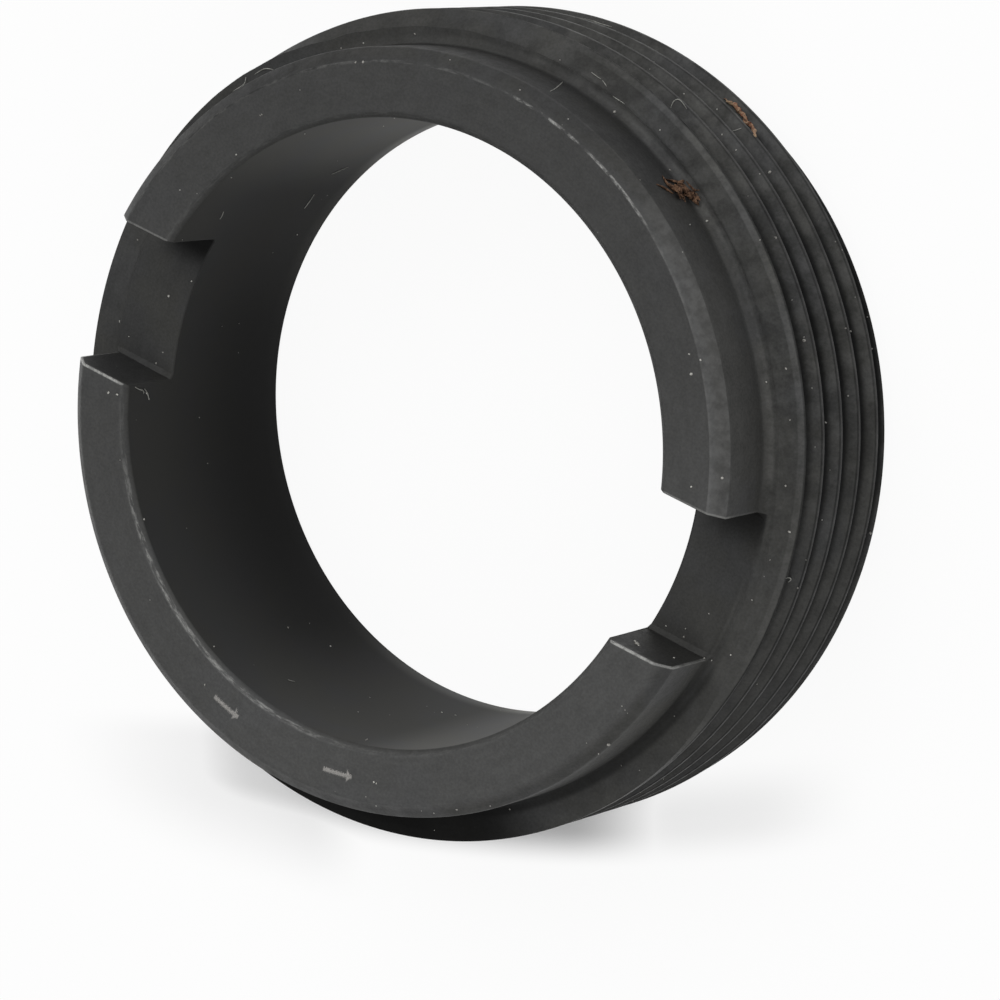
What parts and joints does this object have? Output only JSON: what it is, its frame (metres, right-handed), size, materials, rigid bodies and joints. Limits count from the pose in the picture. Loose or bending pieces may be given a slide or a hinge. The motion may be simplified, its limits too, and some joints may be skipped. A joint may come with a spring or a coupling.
{
  "type": "ring nut",
  "caption": "Slotted steel ring nut with a left-hand outside thread, a plain bore and a boss with opposite spanner slots.",
  "frame": {"origin": "centre of the flat back face, on the axis of the bore", "axes": "+Z along the bore, from the flat back face to the slotted front face; the two spanner slots lie on +X and -X"},
  "size_m": [0.033, 0.033, 0.0112],
  "materials": {
    "blackened_steel": "matte black oxide"
  },
  "bodies": {
    "root": {"ring_nut": "blackened_steel"}
  },
  "joints": []
}
